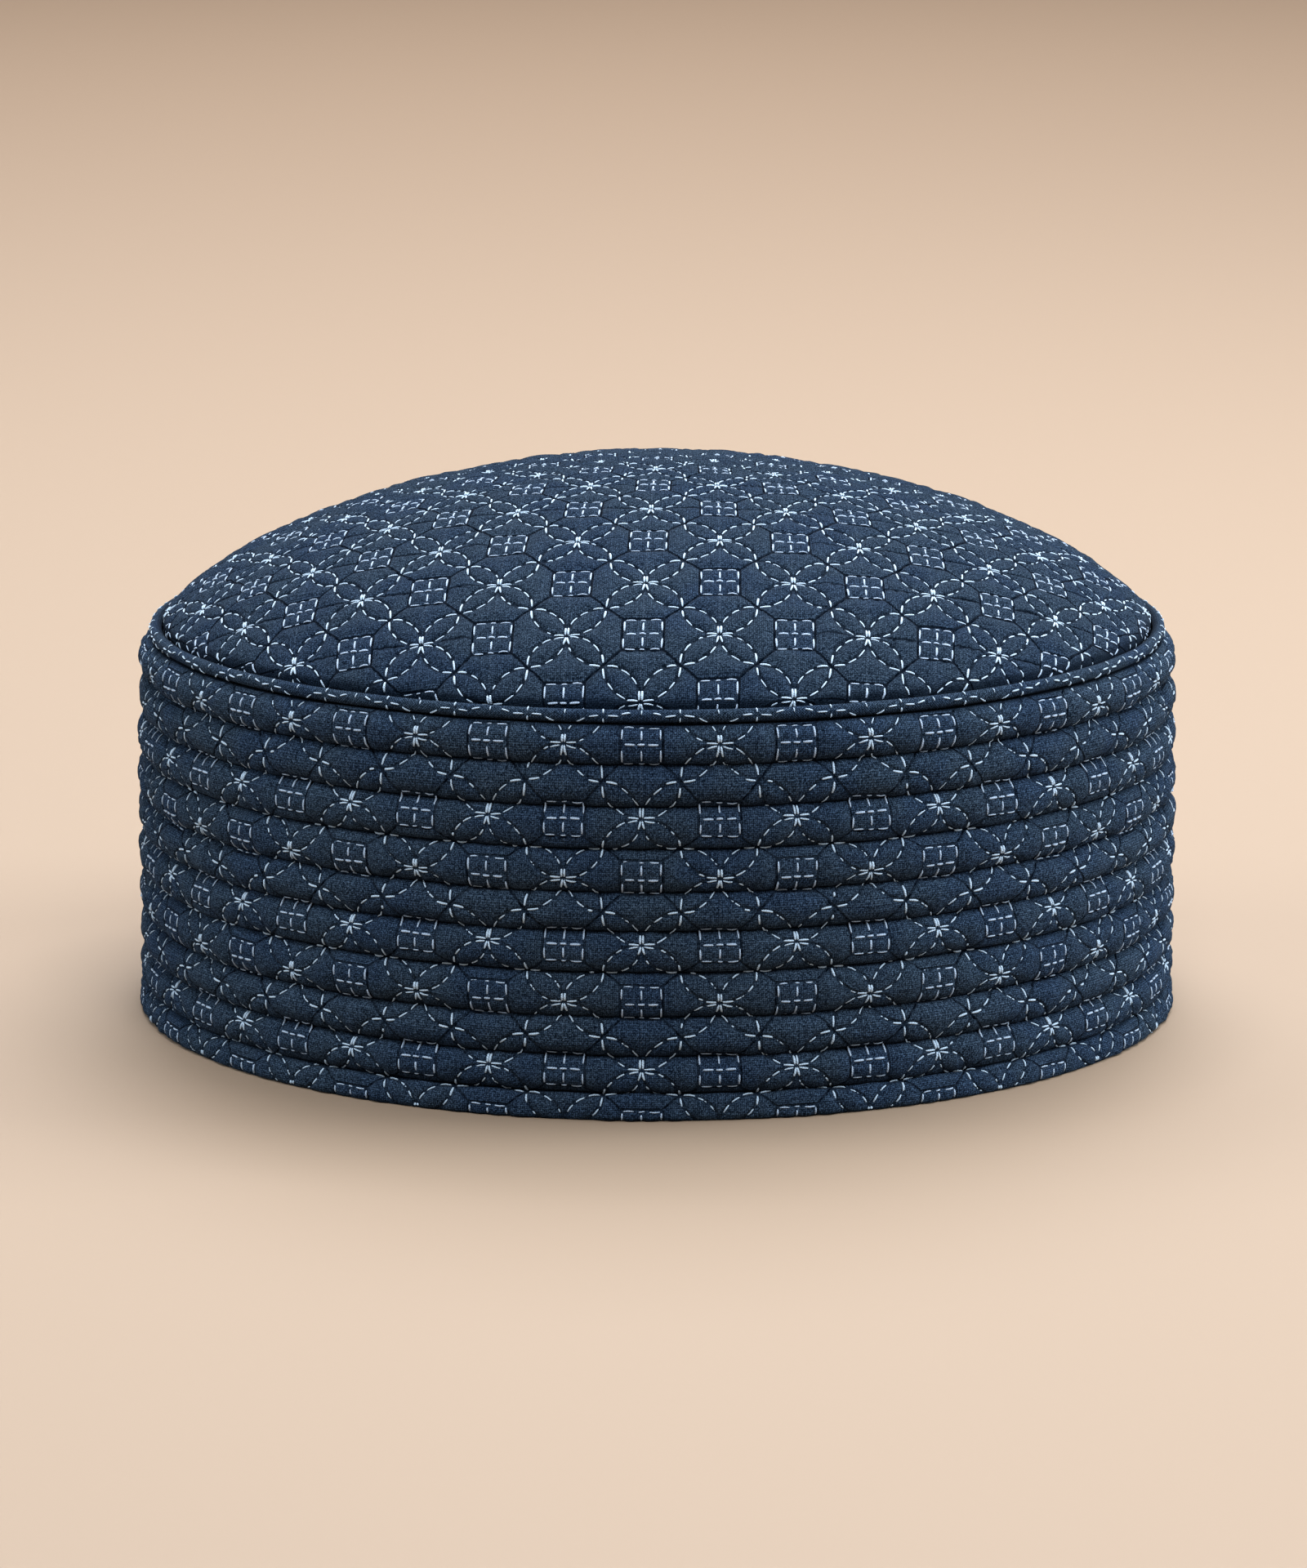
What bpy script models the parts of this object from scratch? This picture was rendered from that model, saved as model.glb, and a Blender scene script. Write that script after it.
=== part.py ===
"""Quilted kufi cap: a shallow stitched dome, a thin piping cord and a ribbed side band.

The cap is a body of revolution about Z and stands on its hem at Z = 0.
Metres, +Z up, origin at the centre of the hem.
"""

import math

import bpy

# Driving sizes, all from the head circumference and the photo's proportions
HEAD_RADIUS = 0.0918
CREST_RADIUS = 0.0970
SEAM_RADIUS = 0.0953
SIDES = 64
SEAT_GAP = 0.0003

# The side band is sewn in rows of padded ribs, listed from the piping down to the hem
RIB_HEIGHTS = (0.0069, 0.0074, 0.0074, 0.0076, 0.0070, 0.0073, 0.0079, 0.0070, 0.0066)
RIB_STEPS = 4
RIB_FULLNESS = 2.6
HEM_HEIGHT = 0.0046
HEM_FLAT_INNER = 0.0926
HEM_FLAT_OUTER = 0.0958
HEM_BULGE = 0.85
HEM_FULLNESS = 0.6
HEM_FOLD = 0.0009
HEM_STEPS = 4
BAND_HEIGHT = sum(RIB_HEIGHTS) + HEM_HEIGHT

# The seam allowance turned in at the top of the band, which carries the crown's rim
LIP_RADIUS = 0.0898
LIP_DEPTH = 0.0030
LIP_SLOPE = 0.0030

# Piping cord laid round the top of the band
PIPING_RADIUS = 0.00115
PIPING_RING_RADIUS = 0.09425
PIPING_SIDES = 8
PIPING_HEIGHT = BAND_HEIGHT + SEAT_GAP + PIPING_RADIUS

# Crown: height = base + rise * (1 - (r / reach) ** roundness) ** softness
DOME_REACH = 0.0972
DOME_BASE = 0.0663
DOME_RISE = 0.0352
DOME_ROUNDNESS = 1.86
DOME_SOFTNESS = 0.67
CROWN_EDGE_RADIUS = 0.0926
CROWN_ROLL = 0.0001
CROWN_WALL = 0.0026
CROWN_STEPS = 11
CROWN_RIM_HEIGHT = BAND_HEIGHT + SEAT_GAP

# Colours are linear RGB
NAVY_CLOTH = (0.022, 0.042, 0.085)
PIPING_CLOTH = (0.018, 0.034, 0.070)
CLOTH_ROUGHNESS = 0.88


def clear_scene():
    """Start from an empty file."""
    for item in list(bpy.data.objects):
        bpy.data.objects.remove(item, do_unlink=True)


def cloth_material(name, colour):
    """A plain woven cotton."""
    material = bpy.data.materials.new(name)
    material.use_nodes = True
    shader = material.node_tree.nodes["Principled BSDF"]
    shader.inputs["Base Color"].default_value = (*colour, 1.0)
    shader.inputs["Roughness"].default_value = CLOTH_ROUGHNESS
    shader.inputs["Metallic"].default_value = 0.0
    return material


def turned_piece(name, profile, material, closed):
    """Turn an outline of (radius, height) points about Z, outer side first and downwards."""
    mesh = bpy.data.meshes.new(name)
    points = [(radius, 0.0, height) for radius, height in profile]
    edges = [(i, i + 1) for i in range(len(points) - 1)]
    if closed:
        edges.append((len(points) - 1, 0))
    mesh.from_pydata(points, edges, [])
    mesh.materials.append(material)
    piece = bpy.data.objects.new(name, mesh)
    bpy.context.scene.collection.objects.link(piece)
    turn = piece.modifiers.new("turn", "SCREW")
    turn.axis = "Z"
    turn.angle = 2.0 * math.pi
    turn.steps = SIDES
    turn.render_steps = SIDES
    turn.use_merge_vertices = True
    turn.merge_threshold = 0.00002
    turn.use_smooth_shade = True
    return piece


def rib_outline(top, height):
    """One padded rib, from its upper seam down to just above its lower seam."""
    points = []
    for step in range(RIB_STEPS):
        along = 0.5 - 0.5 * math.cos(math.pi * step / RIB_STEPS)
        swell = 1.0 - abs(2.0 * along - 1.0) ** RIB_FULLNESS
        radius = SEAM_RADIUS + (CREST_RADIUS - SEAM_RADIUS) * swell
        points.append((radius, top - height * along))
    return points


def hem_outline():
    """The hem: half a rib that rolls under to the flat edge the cap stands on."""
    points = []
    for step in range(HEM_STEPS + 1):
        turn = math.pi * step / HEM_STEPS
        swell = math.sin(turn) ** HEM_FULLNESS if 0 < step < HEM_STEPS else 0.0
        seat = SEAM_RADIUS + (HEM_FLAT_OUTER - SEAM_RADIUS) * step / HEM_STEPS
        radius = seat + (CREST_RADIUS - SEAM_RADIUS) * HEM_BULGE * swell
        points.append((radius, HEM_HEIGHT * (0.5 + 0.5 * math.cos(turn))))
    points.append((HEM_FLAT_INNER, 0.0))
    return points


def side_band(material):
    """Ribbed wall of the cap, with the seam allowance turned in at its top edge."""
    outline = []
    top = BAND_HEIGHT
    for height in RIB_HEIGHTS:
        outline += rib_outline(top, height)
        top -= height
    outline += hem_outline()
    outline.append((HEAD_RADIUS, HEM_FOLD))
    outline.append((HEAD_RADIUS, BAND_HEIGHT - LIP_DEPTH - LIP_SLOPE))
    outline.append((LIP_RADIUS, BAND_HEIGHT - LIP_DEPTH))
    outline.append((LIP_RADIUS, BAND_HEIGHT))
    return turned_piece("side_band", outline, material, closed=True)


def crown_piping(material):
    """Covered cord that hides the seam between crown and band."""
    outline = []
    for side in range(PIPING_SIDES):
        turn = math.pi * (0.5 - 2.0 * (side + 0.5) / PIPING_SIDES)
        radius = PIPING_RING_RADIUS + PIPING_RADIUS * math.cos(turn)
        outline.append((radius, PIPING_HEIGHT + PIPING_RADIUS * math.sin(turn)))
    return turned_piece("crown_piping", outline, material, closed=True)


def dome_height(radius):
    """Height of the crown's outer face at a radius."""
    share = 1.0 - (radius / DOME_REACH) ** DOME_ROUNDNESS
    return DOME_BASE + DOME_RISE * share ** DOME_SOFTNESS


def dome_slope(radius):
    """Rise over run of the crown's outer face, measured over a short step."""
    step = 0.0002
    return (dome_height(radius + step) - dome_height(max(radius - step, 0.0))) / (2.0 * step)


def crown(material):
    """Domed top: one padded wall, open below, whose rim turns down inside the piping."""
    radii = [CROWN_EDGE_RADIUS * math.sin(0.5 * math.pi * i / CROWN_STEPS) for i in range(CROWN_STEPS + 1)]
    outer = [(radius, dome_height(radius)) for radius in radii]
    edge_height = outer[-1][1]
    rim_drop = edge_height - CROWN_RIM_HEIGHT
    rolled = [(CROWN_EDGE_RADIUS + CROWN_ROLL, edge_height - 0.3 * rim_drop)]
    rim = [
        (CROWN_EDGE_RADIUS, CROWN_RIM_HEIGHT),
        (CROWN_EDGE_RADIUS - CROWN_WALL, CROWN_RIM_HEIGHT),
    ]
    inner = []
    for radius, height in reversed(outer[:-1]):
        slope = dome_slope(radius) if radius > 0.0 else 0.0
        run = math.hypot(1.0, slope)
        inner.append((max(radius + CROWN_WALL * slope / run, 0.0), height - CROWN_WALL / run))
    inner = [point for point in inner if point[0] < CROWN_EDGE_RADIUS - CROWN_WALL]
    return turned_piece("crown", outer + rolled + rim + inner, material, closed=False)


def main():
    clear_scene()
    navy = cloth_material("navy_quilted_cloth", NAVY_CLOTH)
    covered = cloth_material("piping_cloth", PIPING_CLOTH)
    cap = bpy.data.objects.new("cap", None)
    bpy.context.scene.collection.objects.link(cap)
    for piece in (side_band(navy), crown_piping(covered), crown(navy)):
        piece.parent = cap


main()
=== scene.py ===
"""Quilted kufi cap dressed in padded navy cloth, covered piping and three colours of thread.

Metres, +Z up, origin at the centre of the hem, the front of the cap towards -Y.
"""

import functools
import math

import bpy
import numpy as np
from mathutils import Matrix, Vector


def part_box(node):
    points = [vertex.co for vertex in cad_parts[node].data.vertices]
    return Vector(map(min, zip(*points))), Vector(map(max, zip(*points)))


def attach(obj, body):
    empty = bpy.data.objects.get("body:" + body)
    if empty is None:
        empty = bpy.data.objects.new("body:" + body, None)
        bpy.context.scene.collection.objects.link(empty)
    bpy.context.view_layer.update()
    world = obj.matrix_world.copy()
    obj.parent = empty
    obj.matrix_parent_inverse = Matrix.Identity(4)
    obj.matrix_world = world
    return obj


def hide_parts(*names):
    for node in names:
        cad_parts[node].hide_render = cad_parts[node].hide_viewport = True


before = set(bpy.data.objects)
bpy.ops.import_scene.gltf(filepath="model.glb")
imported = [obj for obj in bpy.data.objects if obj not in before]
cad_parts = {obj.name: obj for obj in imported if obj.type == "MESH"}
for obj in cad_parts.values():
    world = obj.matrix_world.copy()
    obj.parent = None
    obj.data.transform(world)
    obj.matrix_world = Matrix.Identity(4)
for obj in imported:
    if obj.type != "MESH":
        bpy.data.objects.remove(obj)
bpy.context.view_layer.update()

bl_info = {
    "name": "Kufi cap",
    "version": (1, 0, 0),
    "blender": (4, 5, 0),
    "location": "View3D > Sidebar > Kufi",
    "description": "Models the padded cloth, piping and stitching of a quilted kufi cap",
    "category": "Add Mesh",
}

MM = 0.001

# Side band, its ribs listed from the piping down to the hem
RIB_HEIGHTS = (0.0069, 0.0074, 0.0074, 0.0076, 0.0070, 0.0073, 0.0079, 0.0070, 0.0066)
HEM_HEIGHT = 0.0046
BAND_HEIGHT = sum(RIB_HEIGHTS) + HEM_HEIGHT
BAND_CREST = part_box("side_band")[1][0]
BAND_INNER = 0.0918
LIP_RADIUS = 0.0898
LIP_DEPTH = 0.0030
LIP_SLOPE = 0.0030
HEM_FLAT_INNER = 0.0926
HEM_FLAT_OUTER = 0.0958
HEM_BULGE = 0.85
HEM_FULLNESS = 0.6
HEM_FOLD = 0.0012
INNER_SWELL = 0.0004
SEAM_CALM = 0.0011
PADDING_LIMIT = 0.0012
SEAM_SHADOW_ABOVE = 0.0010
SEAM_SHADOW_BELOW = 0.0003
RIB_ROWS = 11
HEM_ROWS = 9
RIB_SQUARENESS = 2.5
RIB_STEEPNESS = 0.78

# Piping cord round the top of the band
SEAT_GAP = 0.0003
PIPING_RADIUS = 0.00115
PIPING_RING = 0.09345
PIPING_HEIGHT = BAND_HEIGHT + SEAT_GAP + PIPING_RADIUS
PIPING_SIDES = 14
PIPING_UNEVENNESS = 0.03

# Crown: height = base + rise * (1 - (r / reach) ** roundness) ** softness
DOME_REACH = 0.0972
DOME_BASE = 0.0663
DOME_RISE = 0.0352
DOME_ROUNDNESS = 1.86
DOME_SOFTNESS = 0.67
CROWN_EDGE = 0.0926
CROWN_DRAW_IN = 0.0008
CROWN_LOFT = 0.0003
CROWN_DRAW_START = 0.080
CROWN_WALL = 0.0026
CROWN_RIM_HEIGHT = BAND_HEIGHT + SEAT_GAP
CROWN_RIM_CALM = 0.0026
CROWN_SQUARES = 268
CROWN_RIM_RINGS = 3
RIM_ROLL = (0.0001, 0.0012)
LINING_START = (0.0002, 0.0030)
CROWN_INNER_RINGS = 11

# The embroidered lattice: a star or a window sits at every whole step, one step is half a repeat
LATTICE_TURN = math.radians(-1.64)
STEP_LENGTH = 0.0131
BAND_STEPS_ROUND = 44
BAND_COLUMNS_PER_STEP = 16
BAND_GATHER = 0.0136
BAND_ROW_HEIGHTS = (0.0667, 0.0536, 0.0430, 0.0314, 0.0209, 0.0091)
BAND_ROW_SAG = (0.00126, 0.00044)
BAND_TAPER = 0.0007
BAND_TAPER_START = 0.042

# On the crown the rows spread from the apex to the rim and sag to the sides. Lengths are in millimetres
CROWN_ROWS = (7.81, 1.625, 0.122)
CROWN_COLUMNS = (9.86, 1.00, 0.0688)
CROWN_NARROWING = 0.0005
CROWN_SAG = 0.877
CROWN_SAG_POWER = 1.705
CROWN_SAG_FADE = 0.036
CROWN_LEAN = -0.0319
CROWN_TILT = 0.0052
LATTICE_GUESS = 0.0125
LATTICE_PACE = 0.0155
LATTICE_ROUNDS = 30
WINDOW_HALF = 0.25
ARC_RADIUS = 0.5
PUFF_REACH = 0.15

# Unevenness of the padding: height, length of its waves and seed of the fine and the broad swell
BAND_RUMPLES = ((0.00010, 0.009, 3), (0.00010, 0.022, 5))
CROWN_RUMPLES = ((0.00009, 0.009, 11), (0.00010, 0.026, 13))

# Stitches: places of a stitch's five points along it, how deep each sits, and how plump its section is
LEVELS = np.array((0.0, 0.1464466, 0.5, 0.8535534, 1.0))
BALL_LEVELS = (-1.0, -0.70710678, 0.0, 0.70710678, 1.0)
STITCH_SINK = (-0.30, 0.34, 0.52, 0.34, -0.30)
STITCH_RISE = 0.72
STITCH_PLUMPNESS = -0.12

# Petal arcs: the part of the quarter turn from star to crossing that each stitch covers, its width, and how
# round its arc is
RUNNING_STITCHES = ((0.262, 0.460, 1.0, 1.0), (0.508, 0.700, 1.0, 1.0), (0.745, 0.960, 1.35, 0.6))
SHORT_STITCH_CHANCE = 0.06
CLIP_POINTS = 21
CLIP_LEAST = 8

# Dark seams between the ribs
RIB_SEAM_STITCHES = 208
RIB_SEAM_SHARE = 0.72
RIB_SEAM_WIDTH = 0.00034

# Studio
FLOOR_SIZE = 6.0
FLOOR_SHIFT = (0.0, -0.2, 0.0)
SWEEP_RADIUS = 0.7
SWEEP_STEPS = 12
BACKDROP_RISE = (0.0, 0.0, 2.0)
CAMERA_AIM = (-0.00067, 0.0, 0.04013)
CAMERA_ELEVATION = math.radians(11.565)
CAMERA_DISTANCE = 1.1614
CAMERA_LENS = 141.81
LIGHT_AIM = (0.0, 0.0, 0.05)
# Name, place, aim, width, power and tint of each soft light
SOFT_LIGHTS = (
    ("top_light", (0.20, 0.40, 1.45), LIGHT_AIM, 1.0, 35.0, (0.94, 0.97, 1.0)),
    ("front_light", (0.15, -0.95, 1.20), LIGHT_AIM, 0.7, 21.0, (0.93, 0.97, 1.0)),
    ("right_light", (1.30, 0.15, 0.55), LIGHT_AIM, 0.7, 23.0, (0.84, 0.94, 1.0)),
    ("left_light", (-1.30, 0.15, 0.55), LIGHT_AIM, 0.7, 12.5, (0.84, 0.94, 1.0)),
    ("backdrop_light", (0.0, 1.9, 1.7), (0.0, 1.9, 0.0), 1.8, 66.0, (1.0, 0.98, 0.97)),
)
AIR_COLOUR = (0.86, 0.93, 1.0, 1.0)
AIR_STRENGTH = 0.20


def sizes():
    return bpy.context.scene.kufi_sizes


def colours():
    return bpy.context.scene.kufi_colours


# Shape of the cap

def rumple(points, wave, seed):
    """A smooth, uneven swell over space from -1 to 1 or so, the same each run."""
    rng = np.random.default_rng(seed)
    total = np.zeros(points.shape[:-1])
    waves = 9
    for _ in range(waves):
        direction = rng.normal(size=3)
        direction *= 2.0 * math.pi / (np.linalg.norm(direction) * wave * rng.uniform(0.7, 1.4))
        total += np.sin(points @ direction + rng.uniform(0.0, 2.0 * math.pi))
    return total / math.sqrt(waves)


def fold_lattice(across, down):
    """Distances in steps, folded by symmetry.

    Returns the distance to the petal arcs, and the long and short way from the nearest window's centre.
    """
    along = 1.0 - np.abs(across % 2.0 - 1.0)
    aside = 1.0 - np.abs(down % 2.0 - 1.0)
    star_x = 1.0 - np.maximum(along, aside)
    star_y = np.minimum(along, aside)
    first = np.abs(np.hypot(star_x - ARC_RADIUS, star_y) - ARC_RADIUS)
    second = np.abs(np.hypot(star_x, star_y - ARC_RADIUS) - ARC_RADIUS)
    first = np.where(star_x <= ARC_RADIUS, first, 1.0)
    second = np.where(star_y <= ARC_RADIUS, second, 1.0)
    window_long = 1.0 - np.maximum(star_x, star_y)
    window_short = np.minimum(star_x, star_y)
    return np.minimum(first, second), window_long, window_short


def dip(distance, width):
    """A soft groove, 1 at its bottom and 0 well away from it."""
    return np.exp(-((distance / width) ** 1.6))


def quilt_lift(across, down, rows=0.0):
    """How far the padded cloth stands off its base: grooves at stitches, puffs between them.

    rows, from 0 to 1, adds the quilting line that runs along each row between stars and windows.
    """
    arc, window_long, window_short = fold_lattice(across, down)
    outline = np.abs(window_long - WINDOW_HALF - 0.02)
    inside = window_long < WINDOW_HALF
    middle = np.where(inside, window_short, 1.0)
    corner = np.where(inside, 1.0, np.where(window_long < 0.52, (window_long - window_short) / 1.414, 1.0))
    line = np.where(inside, 1.0, np.abs(down - np.rint(down)))
    nearest = np.minimum(np.minimum(arc, outline * 1.3), np.minimum(middle * 1.8, corner * 1.2))
    nearest = np.minimum(nearest, line * 1.4 + 0.3 * (1.0 - rows))
    puff = 1.0 - np.exp(-((nearest / PUFF_REACH) ** 2))
    groove = np.maximum(np.maximum(dip(arc, 0.045), 0.8 * dip(outline, 0.040)),
                        np.maximum(0.4 * dip(middle, 0.03), 0.7 * dip(corner, 0.035)))
    groove = np.maximum(groove, 0.7 * rows * dip(line, 0.03))
    return sizes().puff_height * puff - sizes().groove_depth * groove


def rib_section():
    """Outer face of the band as rows of (radius, height), from the piping down to the hem's edge."""
    seam = BAND_CREST - sizes().rib_depth
    radii, heights = [], []
    top = BAND_HEIGHT
    for height in RIB_HEIGHTS:
        for row in range(RIB_ROWS):
            along = 0.5 - 0.5 * math.cos(math.pi * row / RIB_ROWS)
            swell = (1.0 - abs(2.0 * along - 1.0) ** RIB_SQUARENESS) ** RIB_STEEPNESS
            radii.append(seam + (BAND_CREST - seam) * swell)
            heights.append(top - height * along)
        top -= height
    for row in range(HEM_ROWS + 1):
        turn = math.pi * row / HEM_ROWS
        seat = seam + (HEM_FLAT_OUTER - seam) * row / HEM_ROWS
        swell = math.sin(turn) ** HEM_FULLNESS if 0 < row < HEM_ROWS else 0.0
        radii.append(seat + (BAND_CREST - seam) * HEM_BULGE * swell)
        heights.append(HEM_HEIGHT * (0.5 + 0.5 * math.cos(turn)))
    radii, heights = np.array(radii), np.array(heights)
    taper = np.clip((heights - BAND_TAPER_START) / (BAND_HEIGHT - BAND_TAPER_START), 0.0, 1.0)
    return radii - BAND_TAPER * taper ** 1.5, heights


def column_angle(across):
    """Angle about Z of a band column, counted from the front. Columns stand a little closer there."""
    angle = across * (2.0 * math.pi / BAND_STEPS_ROUND)
    return LATTICE_TURN + angle - BAND_GATHER * np.sin(angle)


def columns_of(points):
    """Band columns of points, the other way round."""
    angle = np.arctan2(points[:, 0], -points[:, 1]) - LATTICE_TURN
    angle = angle + BAND_GATHER * np.sin(angle + BAND_GATHER * np.sin(angle))
    return (angle / (2.0 * math.pi) % 1.0) * BAND_STEPS_ROUND


def row_sag(across, down):
    """How far the band's rows sag at the sides of the cap."""
    sideways = np.sin(across * (2.0 * math.pi / BAND_STEPS_ROUND)) ** 2
    return (BAND_ROW_SAG[0] - BAND_ROW_SAG[1] * down) * sideways


def inner_section():
    """Plain inside of the band, from the hem's flat edge up to the turned-in lip."""
    rows = [(HEM_FLAT_INNER, 0.0), (BAND_INNER, HEM_FOLD)]
    level = HEM_HEIGHT
    for height in reversed(RIB_HEIGHTS):
        rows.append((BAND_INNER + INNER_SWELL, level))
        rows.append((BAND_INNER, level + 0.5 * height))
        level += height
    top = BAND_HEIGHT - LIP_DEPTH
    rows = [(radius, min(height, top - LIP_SLOPE)) for radius, height in rows if height < top - 0.0035]
    rows += [(BAND_INNER, top - LIP_SLOPE), (LIP_RADIUS, top), (LIP_RADIUS, BAND_HEIGHT)]
    return rows


def around(radius, angle, height):
    """Points or directions at a radius, an angle about Z counted from the front, and a height."""
    return np.stack([radius * np.sin(angle), -radius * np.cos(angle), height], axis=-1)


class BandFace:
    """The band's outer face as a function of the lattice, with its padding."""

    def __init__(self):
        radii, heights = rib_section()
        steps = np.hypot(np.diff(radii), np.diff(heights))
        self.run = np.concatenate([[0.0], np.cumsum(steps)])
        self.radii, self.heights = radii, heights
        rows = np.interp([-h for h in BAND_ROW_HEIGHTS], -heights, self.run)
        first = rows[0] - STEP_LENGTH * np.arange(2, 0, -1)
        last = rows[-1] + STEP_LENGTH * np.arange(1, 3)
        self.row_run = np.concatenate([first, rows, last])
        self.row_index = np.arange(-2, len(BAND_ROW_HEIGHTS) + 2, dtype=float)
        seams = BAND_HEIGHT - np.concatenate([[0.0], np.cumsum(RIB_HEIGHTS)])
        self.seam_run = np.interp(-seams, -heights, self.run)

    def down(self, across, run):
        """Lattice rows of points on the section."""
        down = np.interp(run, self.row_run, self.row_index)
        for _ in range(3):
            down = np.interp(run - row_sag(across, down), self.row_run, self.row_index)
        return down

    def run_at(self, across, down):
        return np.interp(down, self.row_index, self.row_run) + row_sag(across, down)

    def base(self, run):
        """Radius, height and outward normal of the unpadded section."""
        reach = 0.0005
        radius, height = (np.interp(run, self.run, table) for table in (self.radii, self.heights))
        before, after = run - reach, run + reach
        slope_r = np.interp(after, self.run, self.radii) - np.interp(before, self.run, self.radii)
        slope_z = np.interp(after, self.run, self.heights) - np.interp(before, self.run, self.heights)
        length = np.hypot(slope_r, slope_z) + 1e-12
        return radius, height, -slope_z / length, slope_r / length

    def place(self, across, run):
        """Points and outward normals at lattice columns and runs along the section."""
        angle = column_angle(across)
        radius, height, out, up = self.base(run)
        normal, point = around(out, angle, up), around(radius, angle, height)
        seam_gap = np.min(np.abs(run[..., None] - self.seam_run), axis=-1)
        calm = 1.0 - np.exp(-((seam_gap / SEAM_CALM) ** 2))
        lift = quilt_lift(across, self.down(across, run))
        fine, broad = (swell * rumple(point, wave, seed) for swell, wave, seed in BAND_RUMPLES)
        lift = lift * calm + fine * calm + broad
        lift = np.minimum(lift, BAND_CREST + PADDING_LIMIT - radius)
        return point + normal * lift[..., None], normal

    def at(self, across, down):
        return self.place(across, self.run_at(across, down))


def dome_height(radius):
    share = np.clip(1.0 - (radius / DOME_REACH) ** DOME_ROUNDNESS, 0.0, 1.0)
    return DOME_BASE + DOME_RISE * share ** DOME_SOFTNESS


def dome_slope(radius):
    step = 0.0002
    inner = np.maximum(radius - step, 0.0)
    return (dome_height(radius + step) - dome_height(inner)) / (radius + step - inner)


def crown_plan(across, up):
    """Plan position of a crown row and column, over the edge as well, in metres."""
    row = np.abs(up)
    bend = np.hypot(up, 1.0) - 0.25
    column = CROWN_COLUMNS[0] + CROWN_COLUMNS[1] * bend - CROWN_COLUMNS[2] * bend ** 2
    side = across * column * (1.0 - CROWN_NARROWING * (bend - 1.0) * across ** 2)
    front = -up * (CROWN_ROWS[0] + CROWN_ROWS[1] * row - CROWN_ROWS[2] * row ** 2)
    front -= CROWN_SAG * np.abs(across) ** CROWN_SAG_POWER * (1.0 - CROWN_SAG_FADE * (up + 4.0))
    return (side + CROWN_LEAN * front) * MM, -(front + CROWN_TILT * side) * MM


class CrownFace:
    """The crown's outer face as a function of the lattice, with its padding."""

    def __init__(self):
        dome = np.linspace(0.0, CROWN_EDGE, 500)
        self.edge_height = float(dome_height(np.array(CROWN_EDGE)))
        wall = np.linspace(0.0, self.edge_height - CROWN_RIM_HEIGHT, 12)[1:]
        share = np.clip((dome - CROWN_DRAW_START) / (CROWN_EDGE - CROWN_DRAW_START), 0.0, 1.0)
        drawn = dome - CROWN_DRAW_IN * share ** 2 * (3.0 - 2.0 * share)
        self.reach = np.concatenate([dome, CROWN_EDGE + wall])
        self.radius = np.concatenate([drawn, np.full(len(wall), drawn[-1])])
        self.height = np.concatenate([dome_height(dome), self.edge_height - wall])

    def lattice(self, x, y):
        """Lattice columns and rows of plan positions, found by nearing them step by step."""
        across, up = x / LATTICE_GUESS, y / LATTICE_GUESS
        for _ in range(LATTICE_ROUNDS):
            at_x, at_y = crown_plan(across, up)
            across, up = across + (x - at_x) / LATTICE_PACE, up + (y - at_y) / LATTICE_PACE
        return across, up

    def at(self, across, up):
        """Points and outward normals at lattice columns and rows."""
        x, y = crown_plan(across, up)
        plan = np.hypot(x, y)
        safe = np.maximum(plan, 1e-9)
        way_x, way_y = x / safe, y / safe
        step = 0.0004
        radius, height = (np.interp(plan, self.reach, table) for table in (self.radius, self.height))
        out, fall = (np.interp(plan + step, self.reach, table) - np.interp(plan - step, self.reach, table)
                     for table in (self.radius, self.height))
        length = np.hypot(out, fall) + 1e-12
        normal = np.stack([-fall / length * way_x, -fall / length * way_y, out / length], axis=-1)
        point = np.stack([radius * way_x, radius * way_y, height], axis=-1)
        calm = np.clip((CROWN_EDGE - plan) / CROWN_RIM_CALM, 0.0, 1.0)
        rows = np.clip(np.maximum(0.5 * np.abs(across) - 0.6, (up + 4.5) / 1.5), 0.0, 1.0)
        lift = (quilt_lift(across, up, rows) + CROWN_LOFT) * (0.3 + 0.7 * calm)
        fine, broad = (swell * rumple(point, wave, seed) for swell, wave, seed in CROWN_RUMPLES)
        lift += calm * (fine + broad)
        return point + normal * lift[..., None], normal


class PipingFace:
    """The covered cord's outer face: columns as on the band, rows measured from its outermost line."""

    def at(self, across, down):
        angle = column_angle(across)
        turn = -down * STEP_LENGTH / PIPING_RADIUS
        out, up = np.cos(turn), np.sin(turn)
        point = around(PIPING_RING + PIPING_RADIUS * out, angle, PIPING_HEIGHT + PIPING_RADIUS * up)
        return point, around(out, angle, up)


# Mesh helpers

def deselect_all():
    if bpy.context.object and bpy.context.object.mode != "OBJECT":
        bpy.ops.object.mode_set(mode="OBJECT")
    bpy.ops.object.select_all(action="DESELECT")


def vertex_array(mesh):
    points = np.empty(len(mesh.vertices) * 3)
    mesh.vertices.foreach_get("co", points)
    return points.reshape(-1, 3)


def loop_vertices(mesh):
    indices = np.empty(len(mesh.loops), dtype=np.int64)
    mesh.loops.foreach_get("vertex_index", indices)
    return indices


def move_vertices(mesh, points):
    mesh.vertices.foreach_set("co", points.ravel())
    mesh.update()


def write_uv(mesh, uv):
    layer = mesh.uv_layers.new(name="cloth")
    layer.data.foreach_set("uv", np.ascontiguousarray(uv, dtype=np.float32).ravel())


def write_attribute(mesh, name, values):
    layer = mesh.attributes.new(name, "FLOAT", "POINT")
    layer.data.foreach_set("value", np.ascontiguousarray(values, dtype=np.float32))


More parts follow.
